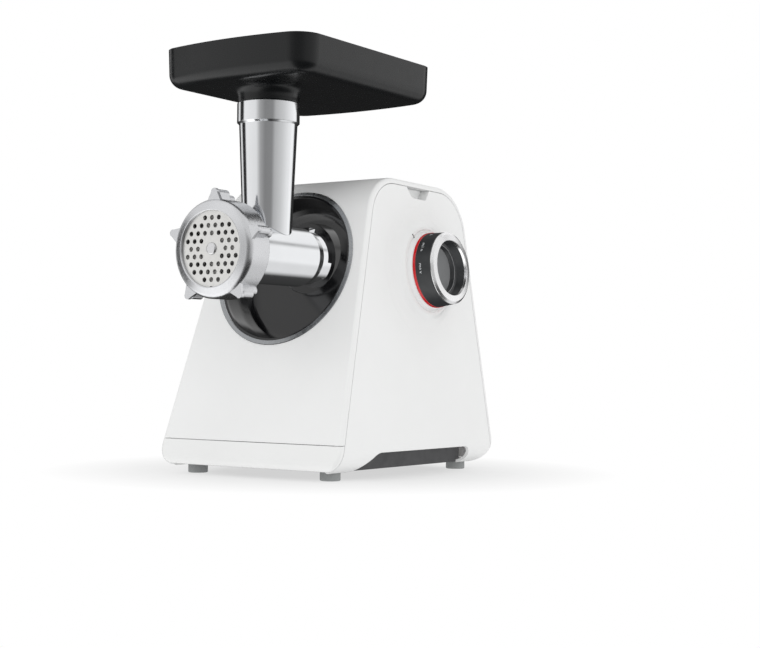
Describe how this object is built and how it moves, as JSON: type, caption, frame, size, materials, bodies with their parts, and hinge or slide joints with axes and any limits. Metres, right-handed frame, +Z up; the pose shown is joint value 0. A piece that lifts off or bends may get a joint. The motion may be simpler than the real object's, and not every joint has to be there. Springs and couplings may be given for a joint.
{
  "type": "electric meat grinder",
  "caption": "Countertop meat grinder: wedge-shaped white casing, cast grinding head with screw ring and perforated disc, neck with a feed tray, side speed knob.",
  "frame": {"origin": "on the standing surface, in the plane of symmetry of the casing, 118.5 mm behind the casing's front foot line", "axes": "+Z up, -Y out of the grinding head towards the user, +X to the user's right, where the knob is"},
  "size_m": [0.1991, 0.2759, 0.3395],
  "materials": {
    "white_shell": "satin white moulded plastic",
    "white_trim": "glossy white moulded plastic",
    "black_gloss": "glossy black moulded plastic",
    "rim_grey": "satin grey",
    "tray_black": "satin black, finely grained",
    "knob_black": "satin dark grey",
    "knob_grey": "satin grey",
    "red_ring": "glossy red",
    "bezel_steel": "turned, fine rings",
    "cast_head": "polished casting",
    "blade_steel": "ground",
    "coupling_nylon": "dark glass filled nylon",
    "shaft_steel": "ground",
    "gear_nylon": "natural nylon",
    "bush_bronze": "sintered bronze",
    "bearing_steel": "polished",
    "gearbox_grey": "glass filled nylon",
    "laminated_steel": "stacked laminations",
    "copper_winding": "enamelled copper",
    "bracket_alloy": "die cast",
    "brush_carbon": "pressed carbon",
    "holder_brass": "pressed sheet",
    "base_grey": "dark grey",
    "board_green": "laminate",
    "foot_rubber": "grey rubber"
  },
  "bodies": {
    "root": {"left_side_panel": "white_shell", "right_side_panel": "white_shell", "centre_shell": "white_shell", "rear_cover": "white_shell", "front_lower_trim": "white_trim", "recess_bowl": "black_gloss", "recess_rim": "rim_grey", "motor_bolts": "shaft_steel", "gearbox_screws": "shaft_steel", "base_screws": "shaft_steel", "gearbox_bushes": "bush_bronze", "motor_bearings": "bush_bronze", "output_bearing": "bearing_steel", "gearbox_housing": "gearbox_grey", "gearbox_cover": "gearbox_grey", "drive_socket": "gearbox_grey", "motor_stator": "laminated_steel", "field_coils": "copper_winding", "motor_front_bracket": "bracket_alloy", "motor_rear_bracket": "bracket_alloy", "carbon_brushes": "brush_carbon", "brush_holders": "holder_brass", "base_plate": "base_grey", "speed_switch": "base_grey", "cord_gland": "base_grey", "board_components": "base_grey", "control_board": "board_green", "foot_front_left": "foot_rubber", "foot_front_right": "foot_rubber", "foot_rear_left": "foot_rubber", "foot_rear_right": "foot_rubber", "motor_cushions": "foot_rubber"},
    "rotor": {"rotor_shaft": "shaft_steel", "rotor_core": "laminated_steel", "rotor_windings": "copper_winding", "commutator": "copper_winding", "cooling_fan": "gear_nylon", "motor_pinion": "shaft_steel"},
    "first_shaft": {"first_stage_gear": "gear_nylon", "first_stage_pinion": "shaft_steel"},
    "second_shaft": {"second_stage_gear": "gear_nylon", "second_stage_pinion": "shaft_steel"},
    "output": {"output_gear": "shaft_steel", "output_shaft": "shaft_steel", "drive_dog": "shaft_steel"},
    "knob": {"knob_body": "knob_black", "knob_red_ring": "red_ring", "knob_bezel": "bezel_steel", "knob_cap": "knob_grey", "switch_shaft": "shaft_steel"},
    "head": {"grinder_housing": "cast_head", "feed_neck": "cast_head", "worm_bush": "bush_bronze"},
    "worm": {"worm": "cast_head", "worm_stud": "blade_steel", "worm_coupling": "coupling_nylon", "knife": "blade_steel"},
    "disc": {"perforated_disc": "blade_steel"},
    "ring": {"screw_ring": "cast_head"},
    "tray": {"hopper_tray": "tray_black"}
  },
  "joints": [
    {"name": "rotor_spin", "type": "hinge", "parent": "root", "child": "rotor", "pos_m": [0, 0, 0.06], "axis": [0, 1, 0], "continuous": true},
    {"name": "first_shaft_spin", "type": "hinge", "parent": "root", "child": "first_shaft", "pos_m": [0.014, 0, 0.09317], "axis": [0, 1, 0], "continuous": true},
    {"name": "second_shaft_spin", "type": "hinge", "parent": "root", "child": "second_shaft", "pos_m": [-0.00596, 0, 0.1321], "axis": [0, 1, 0], "continuous": true},
    {"name": "output_spin", "type": "hinge", "parent": "root", "child": "output", "pos_m": [0, 0, 0.1767], "axis": [0, 1, 0], "continuous": true},
    {"name": "knob_turn", "type": "hinge", "parent": "root", "child": "knob", "pos_m": [0.07776, 0.0199, 0.1664], "axis": [-0.9962, 0, -0.0877], "range_deg": [0, 110]},
    {"name": "head_release", "type": "slide", "parent": "root", "child": "head", "axis": [0, -1, 0], "range_m": [0, 0.07]},
    {"name": "worm_spin", "type": "hinge", "parent": "head", "child": "worm", "pos_m": [0, 0, 0.1767], "axis": [0, 1, 0], "continuous": true},
    {"name": "disc_travel", "type": "slide", "parent": "head", "child": "disc", "axis": [0, -1, 0], "range_m": [0, 0.0121]},
    {"name": "ring_turn", "type": "hinge", "parent": "disc", "child": "ring", "pos_m": [0, 0, 0.1767], "axis": [0, -1, 0], "range_deg": [0, 1440]},
    {"name": "tray_lift", "type": "slide", "parent": "head", "child": "tray", "axis": [0, 0, 1], "range_m": [0, 0.06]}
  ],
  "couplings": [
    {"joint": "first_shaft_spin", "follows": "rotor_spin", "ratio": -0.2},
    {"joint": "second_shaft_spin", "follows": "rotor_spin", "ratio": 0.05},
    {"joint": "output_spin", "follows": "rotor_spin", "ratio": -0.0125},
    {"joint": "worm_spin", "follows": "rotor_spin", "ratio": -0.0125},
    {"joint": "disc_travel", "follows": "ring_turn", "m_per_rad": 0.00047746}
  ]
}
